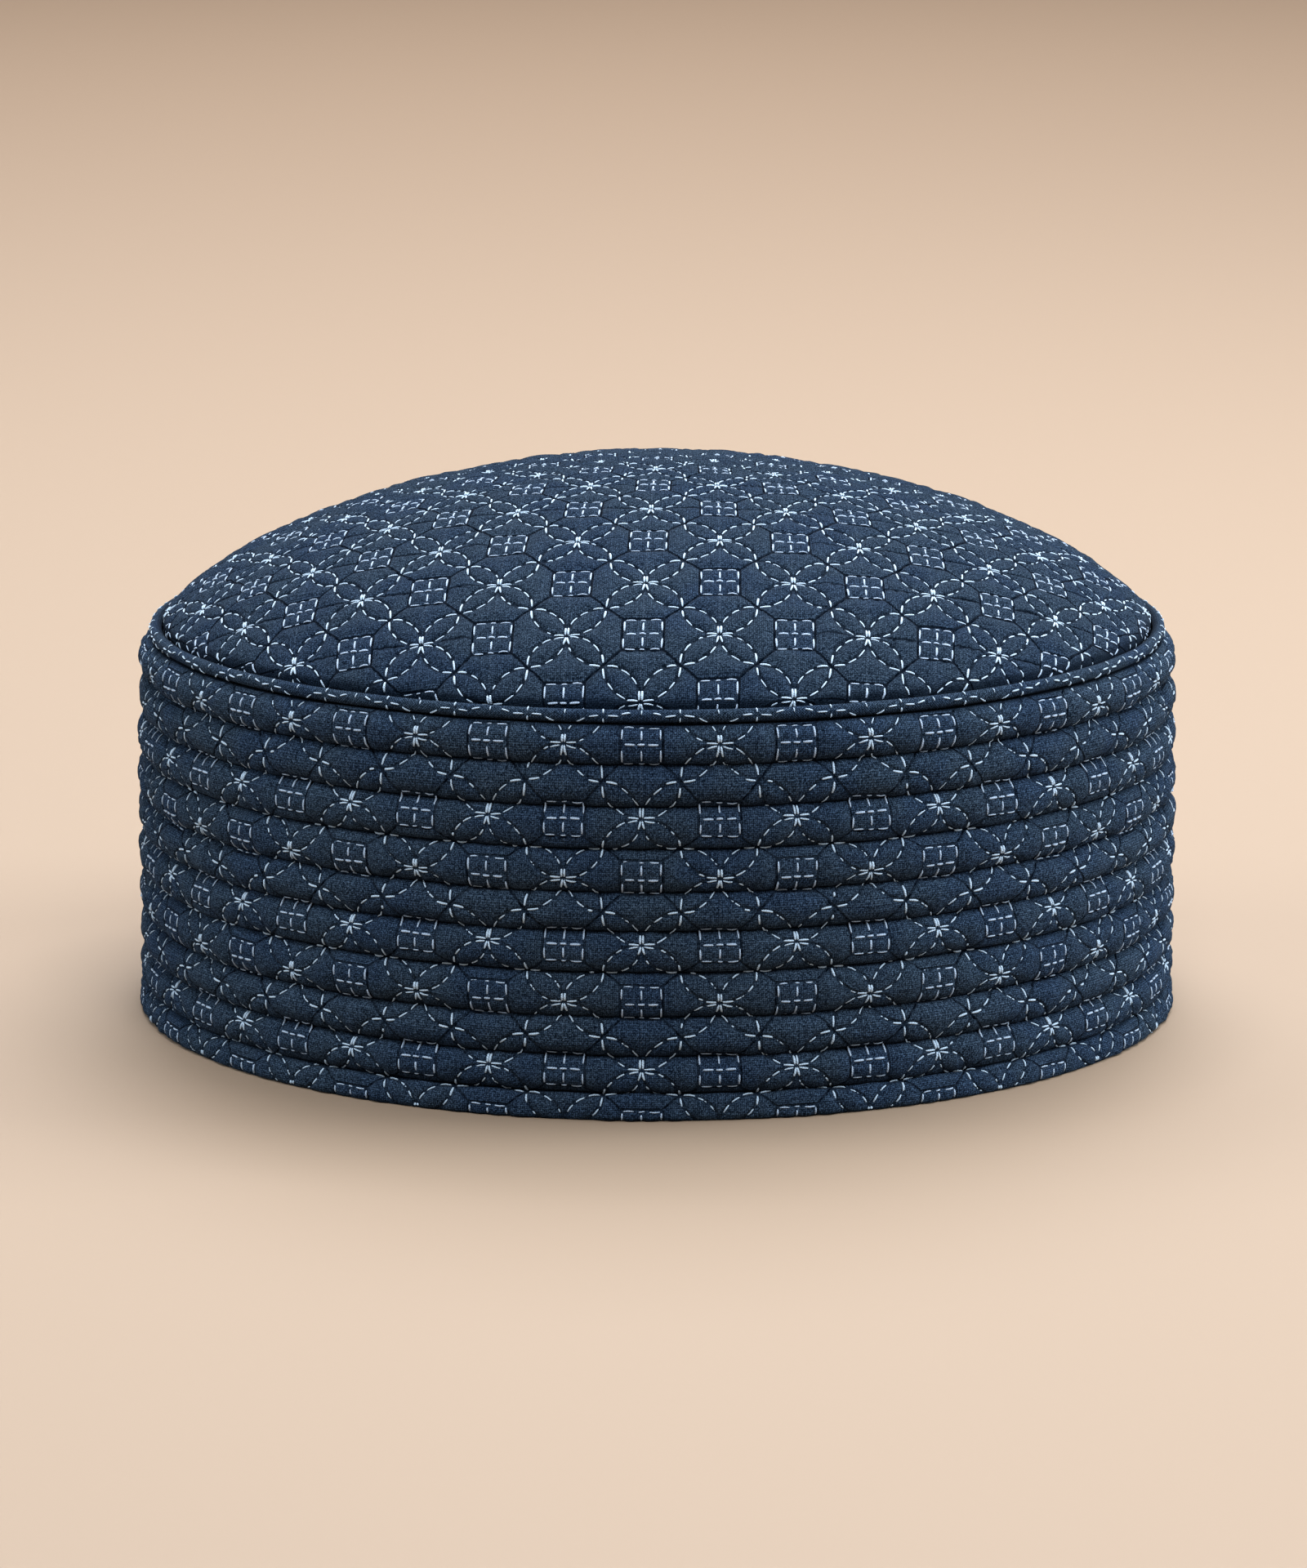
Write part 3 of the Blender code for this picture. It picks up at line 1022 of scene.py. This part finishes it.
def star_centre(stitches, column, row, up):
    """The thick knot of stitches in the middle of a star. up is the lattice direction that faces up."""
    width = sizes().star_width
    sew = functools.partial(stitches.mark, (column, row))
    for side in (-1.0, 1.0):
        sew((side * 0.017, up * 0.012), (side * 0.019, up * 0.150), width * 1.15, loose=0.003, rise=0.9)
        sew((side * 0.010, -up * 0.010), (side * 0.045, -up * 0.150), width * 1.05,
            bow=-0.006 * side * up, loose=0.004)
        sew((side * 0.022, up * 0.012), (side * 0.185, up * 0.022), width * 0.95, loose=0.005)
        sew((side * 0.030, -up * 0.018), (side * 0.175, -up * 0.048), width * 0.82, bow=0.006, loose=0.006)


def window_frame(stitches, column, row):
    """Two by two panes, each side two long stitches, and a thick knot in the middle."""
    width = sizes().window_width
    sew = functools.partial(stitches.mark, (column, row))
    for side in (-1.0, 1.0):
        edge = side * WINDOW_HALF
        for other in (-1.0, 1.0):
            # sides, top and bottom, then the upright between the panes
            sew((edge, other * 0.052), (edge, other * 0.236), width, loose=0.007)
            sew((other * 0.090, edge), (other * 0.242, edge), width * 0.80, bow=0.008, loose=0.007)
            sew((0.0, other * 0.050), (0.0, other * 0.212), width * 0.95, loose=0.005)
        sew((-0.040, edge), (0.040, edge), width * 0.75, loose=0.008)
        sew((side * 0.070, 0.0), (side * 0.226, 0.0), width * 1.2, loose=0.006)
    sew((-0.056, 0.0), (0.050, 0.0), width * 1.15, rise=1.0, loose=0.004)


def quilting_marks(stitches, column, row, dotted_rows):
    """Thin dark stitches round a window, out to the crossings and, on the crown, along its row."""
    sew = functools.partial(stitches.mark, (column, row), width=sizes().quilting_width, rise=0.5)
    half = WINDOW_HALF + 0.022
    for side in (-1.0, 1.0):
        for start in (-0.21, -0.065, 0.08):
            sew((start, side * half), (start + 0.115, side * half))
            sew((side * half, start), (side * half, start + 0.115))
        for other in (-1.0, 1.0):
            for start in (0.285, 0.395):
                end = start + 0.075
                sew((side * start, other * start), (side * end, other * end))
        if dotted_rows and max(0.5 * abs(column) - 0.6, (row + 4.5) / 1.5) > 0.5:
            for start in np.arange(0.34, 0.78, 0.088):
                sew((side * start, 0.0), (side * (start + 0.05), 0.0))


def lattice_spots(columns, rows, odd):
    return [(i, j) for i in columns for j in rows if (i + j) % 2 == odd]


def clip_stitches(stitches, measure, low, high):
    """Shorten the stitches that run off their piece of cloth, and drop those outside it."""
    kept = []
    for path, width, rise in zip(stitches.paths, stitches.widths, stitches.rises):
        fine = np.linspace(0.0, 1.0, CLIP_POINTS)
        dense = np.stack([np.interp(fine, LEVELS, path[:, axis]) for axis in (0, 1)], axis=-1)
        inside = np.flatnonzero((measure(dense) > low) & (measure(dense) < high))
        if len(inside) < CLIP_LEAST:
            continue
        if len(inside) < len(fine):
            share = fine[inside[0]] + (fine[inside[-1]] - fine[inside[0]]) * LEVELS
            path = np.stack([np.interp(share, fine, dense[:, axis]) for axis in (0, 1)], axis=-1)
        kept.append((path, width, rise))
    stitches.paths, stitches.widths, stitches.rises = (list(item) for item in zip(*kept))
    return stitches


def on_crown(stitches):
    limit = stitches.face.reach[-1] - 0.0005
    return clip_stitches(stitches, lambda path: np.hypot(*crown_plan(path[:, 0], path[:, 1])), -1.0, limit)


def on_band(stitches):
    face = stitches.face
    limit = face.run[-1] - 0.0010
    return clip_stitches(stitches, lambda path: face.run_at(path[:, 0], path[:, 1]), 0.0003, limit)


def crown_spots(odd):
    steps = range(-9, 10)
    spots = lattice_spots(steps, steps, odd)
    return [spot for spot in spots if np.hypot(*crown_plan(*spot)) < CROWN_EDGE + 0.008]


def band_spots(odd):
    return lattice_spots(range(BAND_STEPS_ROUND), range(len(BAND_ROW_HEIGHTS) + 1), odd)


def finish_stitches(pieces, material):
    for piece in pieces:
        piece.data.materials.append(material)
        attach(piece, "root")


def gather(face, seed, spots, draw):
    stitches = StitchList(face, seed)
    for column, row in spots:
        draw(stitches, float(column), float(row))
    return stitches


# Settings

def length_setting(name, description, default):
    return bpy.props.FloatProperty(name=name, description=description, default=default, unit="LENGTH")


def colour_setting(name, description, default):
    return bpy.props.FloatVectorProperty(
        name=name, description=description, default=default, subtype="COLOR", size=3)


class CapSizes(bpy.types.PropertyGroup):
    """Sizes of the padding and the threads."""
    rib_depth: length_setting("Rib depth", "How far the seams between ribs are pulled in", 0.0023)
    puff_height: length_setting("Puff height", "How far the padding swells between stitches", 0.00042)
    groove_depth: length_setting("Groove depth", "How far stitches pull the cloth in", 0.00038)
    thread_width: length_setting("Thread width", "Width of the running stitches on the petals", 0.00033)
    star_width: length_setting(
        "Star thread width", "Width of the doubled stitches at a star's centre", 0.00042)
    window_width: length_setting(
        "Window thread width", "Width of the stitches that draw the windows", 0.00039)
    quilting_width: length_setting("Quilting thread width", "Width of the dark quilting thread", 0.00024)
    threads_per_step: bpy.props.FloatProperty(
        name="Threads per step", description="Cloth yarns in one step of the lattice", default=38.0)


class CapColours(bpy.types.PropertyGroup):
    """Colours of the cloth, the threads and the studio."""
    cloth_shade: colour_setting("Cloth shade", "Colour down in the weave", (0.0010, 0.0044, 0.0110))
    cloth_light: colour_setting(
        "Cloth light", "Colour of the raised and slubby yarns", (0.0405, 0.0665, 0.1040))
    cloth_patch: colour_setting("Cloth patch", "Tint of the bluer dye patches", (0.78, 0.86, 1.0))
    # Painted shade: the dark colour laid into the rib seams, the crown's rim, the piping's tucked sides and
    # the grooves along the stitches.
    painted_groove_shade: colour_setting("Cloth deep", "Colour in seams and needle holes", (0.0006, 0.0028, 0.0075))
    pale_thread: colour_setting("Pale thread", "Icy blue embroidery thread", (0.455, 0.605, 0.775))
    steel_thread: colour_setting("Steel thread", "Steel blue thread of the windows", (0.385, 0.505, 0.68))
    dark_thread: colour_setting("Dark thread", "Navy quilting thread", (0.0008, 0.0030, 0.0080))
    floor: colour_setting("Floor", "Pale studio floor and backdrop", (0.240, 0.170, 0.117))


# Operators

class KUFI_OT_stage(bpy.types.Operator):
    """Add the pale floor, the soft studio lights and the camera."""
    bl_idname = "kufi.stage"
    bl_label = "Studio"

    def execute(self, context):
        scene = context.scene
        deselect_all()
        bpy.ops.mesh.primitive_plane_add(size=FLOOR_SIZE, location=(0.0, 0.0, 0.0))
        floor = context.object
        floor.name = floor.data.name = "studio_floor"
        bpy.ops.object.mode_set(mode="EDIT")
        bpy.ops.mesh.select_mode(type="EDGE")
        bpy.ops.mesh.select_all(action="DESELECT")
        bpy.ops.object.mode_set(mode="OBJECT")
        for edge in floor.data.edges:
            edge.select = all(floor.data.vertices[v].co.y > 0.0 for v in edge.vertices)
        bpy.ops.object.mode_set(mode="EDIT")
        bpy.ops.transform.translate(value=FLOOR_SHIFT)
        for turn in range(1, SWEEP_STEPS + 1):
            angle = 0.5 * math.pi * turn / SWEEP_STEPS
            last = 0.5 * math.pi * (turn - 1) / SWEEP_STEPS
            back = SWEEP_RADIUS * (math.sin(angle) - math.sin(last))
            up = SWEEP_RADIUS * (math.cos(last) - math.cos(angle))
            bpy.ops.mesh.extrude_region_move(TRANSFORM_OT_translate={"value": (0.0, back, up)})
        bpy.ops.mesh.extrude_region_move(TRANSFORM_OT_translate={"value": BACKDROP_RISE})
        bpy.ops.mesh.select_mode(type="VERT")
        bpy.ops.object.mode_set(mode="OBJECT")
        smooth(floor)
        material, _, shader = new_material("studio_paper")
        shader.inputs["Base Color"].default_value = (*colours().floor, 1.0)
        shader.inputs["Roughness"].default_value = 0.7
        floor.data.materials.append(material)

        away = Vector((0.0, -math.cos(CAMERA_ELEVATION), math.sin(CAMERA_ELEVATION)))
        bpy.ops.object.camera_add(
            location=Vector(CAMERA_AIM) + CAMERA_DISTANCE * away,
            rotation=(math.pi / 2 - CAMERA_ELEVATION, 0.0, 0.0))
        camera = context.object
        camera.name = "camera"
        camera.data.lens = CAMERA_LENS
        camera.data.sensor_width = 36.0
        camera.data.clip_start = 0.05
        camera.data.clip_end = 50.0
        scene.camera = camera

        for name, place, aim, width, power, tint in SOFT_LIGHTS:
            bpy.ops.object.light_add(type="AREA", location=place)
            lamp = context.object
            lamp.name = name
            lamp.rotation_euler = (Vector(aim) - lamp.location).to_track_quat("-Z", "Y").to_euler()
            lamp.data.size = width
            lamp.data.energy = power
            lamp.data.color = tint
        world = bpy.data.worlds.new("studio_air")
        world.use_nodes = True
        air = world.node_tree.nodes["Background"].inputs
        air["Color"].default_value = AIR_COLOUR
        air["Strength"].default_value = AIR_STRENGTH
        scene.world = world
        scene.view_settings.view_transform = "Standard"
        return {"FINISHED"}


class KUFI_OT_crown_cloth(bpy.types.Operator):
    """Model the padded, domed cloth of the crown."""
    bl_idname = "kufi.crown_cloth"
    bl_label = "Crown cloth"

    def execute(self, context):
        piece = model_crown_cloth()
        # The crown's stitch grooves get the strongest painted shade.
        piece.data.materials.append(cloth_material("crown_navy_cloth", rows=0.9, shade_pull=1.18))
        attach(piece, "root")
        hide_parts("crown")
        return {"FINISHED"}


class KUFI_OT_band_cloth(bpy.types.Operator):
    """Model the ribbed, padded cloth of the side band."""
    bl_idname = "kufi.band_cloth"
    bl_label = "Band cloth"

    def execute(self, context):
        piece = model_band_cloth()
        # The band's raised yarns are painted lighter, as painted light on the ribs, and its grooves get
        # weaker painted shade.
        piece.data.materials.append(cloth_material("band_navy_cloth", painted_light_gain=1.35, shade_pull=0.7))
        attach(piece, "root")
        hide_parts("side_band")
        return {"FINISHED"}


class KUFI_OT_piping(bpy.types.Operator):
    """Model the covered piping cord at the crown's edge."""
    bl_idname = "kufi.piping"
    bl_label = "Piping"

    def execute(self, context):
        piece = model_piping()
        # The piping's raised yarns are painted lighter, as painted light on the cord.
        material = cloth_material("piping_navy_cloth", turn=math.pi / 4, quilted=False, painted_light_gain=1.2)
        piece.data.materials.append(material)
        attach(piece, "root")
        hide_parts("crown_piping")
        return {"FINISHED"}


class KUFI_OT_petal_stitching(bpy.types.Operator):
    """Sew the pale stars and petals on the crown, the piping and the band."""
    bl_idname = "kufi.petal_stitching"
    bl_label = "Petal stitching"

    def execute(self, context):
        form = stitch_form(6)

        def crown_star(stitches, column, row):
            petal_arcs(stitches, column, row)
            star_centre(stitches, column, row, 1.0)

        def band_star(stitches, column, row):
            petal_arcs(stitches, column, row)
            star_centre(stitches, column, row, -1.0)

        crown = on_crown(gather(CrownFace(), 101, crown_spots(1), crown_star))
        band = on_band(gather(BandFace(), 102, band_spots(1), band_star))
        piping = StitchList(PipingFace(), 103)
        width = sizes().thread_width
        for column in range(BAND_STEPS_ROUND):
            # Crossings lie on the cord; arcs drop to a star on the band and climb to one on the crown
            sew = functools.partial(piping.mark, (column + 0.5, 0.0))
            for side in (-1.0, 1.0):
                slant = 0.085 if (column + (side > 0)) % 2 == 1 else -0.060
                sew((side * 0.05, -0.020), (side * 0.20, -0.012), width, loose=0.008)
                sew((side * 0.24, -0.012 + 0.3 * slant), (side * 0.36, slant), width, loose=0.008)
                sew((0.0, -0.02 + side * 0.03), (0.0, -0.02 + side * 0.11), width, loose=0.006)
            piping.line((column, -0.105), (column, -0.030), 0.7 * width, loose=0.006)
        pieces = [crown.build("crown_petal_stitches", form), band.build("band_petal_stitches", form),
                  piping.build("piping_stitches", form)]
        material = thread_material("pale_blue_cotton", colours().pale_thread)
        finish_stitches(pieces, material)
        return {"FINISHED"}


class KUFI_OT_window_stitching(bpy.types.Operator):
    """Sew the steel blue windows on the crown and the band."""
    bl_idname = "kufi.window_stitching"
    bl_label = "Window stitching"

    def execute(self, context):
        form = stitch_form(6)
        crown = on_crown(gather(CrownFace(), 201, crown_spots(0), window_frame))
        band = on_band(gather(BandFace(), 202, band_spots(0), window_frame))
        pieces = [crown.build("crown_window_stitches", form), band.build("band_window_stitches", form)]
        material = thread_material("steel_blue_cotton", colours().steel_thread)
        finish_stitches(pieces, material)
        return {"FINISHED"}


class KUFI_OT_quilting(bpy.types.Operator):
    """Sew the thin dark quilting lines and the seams between ribs."""
    bl_idname = "kufi.quilting"
    bl_label = "Quilting"

    def execute(self, context):
        form = stitch_form(4)
        face = BandFace()
        crown = on_crown(gather(CrownFace(), 301, crown_spots(0),
                                lambda stitches, column, row: quilting_marks(stitches, column, row, True)))
        band = on_band(gather(face, 302, band_spots(0),
                              lambda stitches, column, row: quilting_marks(stitches, column, row, False)))
        seams = StitchList(face, 303)
        pitch = BAND_STEPS_ROUND / RIB_SEAM_STITCHES
        for run in face.seam_run[1:]:
            for index in range(RIB_SEAM_STITCHES):
                start, end = index * pitch, (index + RIB_SEAM_SHARE) * pitch
                start_down, end_down = float(face.down(start, run)), float(face.down(end, run))
                seams.line((start, start_down), (end, end_down), RIB_SEAM_WIDTH, loose=0.006)
        pieces = [crown.build("crown_quilting_stitches", form), band.build("band_quilting_stitches", form),
                  seams.build("rib_seam_stitches", form)]
        material = thread_material("dark_navy_cotton", colours().dark_thread, gloss=0.0)
        finish_stitches(pieces, material)
        return {"FINISHED"}


class KUFI_PT_panel(bpy.types.Panel):
    """Lists the pieces of the cap."""
    bl_label = "Kufi cap"
    bl_idname = "KUFI_PT_panel"
    bl_space_type = "VIEW_3D"
    bl_region_type = "UI"
    bl_category = "Kufi"

    def draw(self, context):
        for operator in OPERATORS:
            self.layout.operator(operator.bl_idname)
        for group in (context.scene.kufi_sizes, context.scene.kufi_colours):
            box = self.layout.box()
            for name in group.__annotations__:
                box.prop(group, name)


OPERATORS = (
    KUFI_OT_stage,
    KUFI_OT_crown_cloth,
    KUFI_OT_band_cloth,
    KUFI_OT_piping,
    KUFI_OT_petal_stitching,
    KUFI_OT_window_stitching,
    KUFI_OT_quilting,
)
CLASSES = (CapSizes, CapColours, *OPERATORS, KUFI_PT_panel)


def register():
    for item in CLASSES:
        bpy.utils.register_class(item)
    bpy.types.Scene.kufi_sizes = bpy.props.PointerProperty(type=CapSizes)
    bpy.types.Scene.kufi_colours = bpy.props.PointerProperty(type=CapColours)


def unregister():
    del bpy.types.Scene.kufi_colours
    del bpy.types.Scene.kufi_sizes
    for item in reversed(CLASSES):
        bpy.utils.unregister_class(item)


def main():
    register()
    bpy.ops.kufi.stage()
    bpy.ops.kufi.crown_cloth()
    bpy.ops.kufi.band_cloth()
    bpy.ops.kufi.piping()
    bpy.ops.kufi.petal_stitching()
    bpy.ops.kufi.window_stitching()
    bpy.ops.kufi.quilting()


if __name__ == "__main__":
    main()
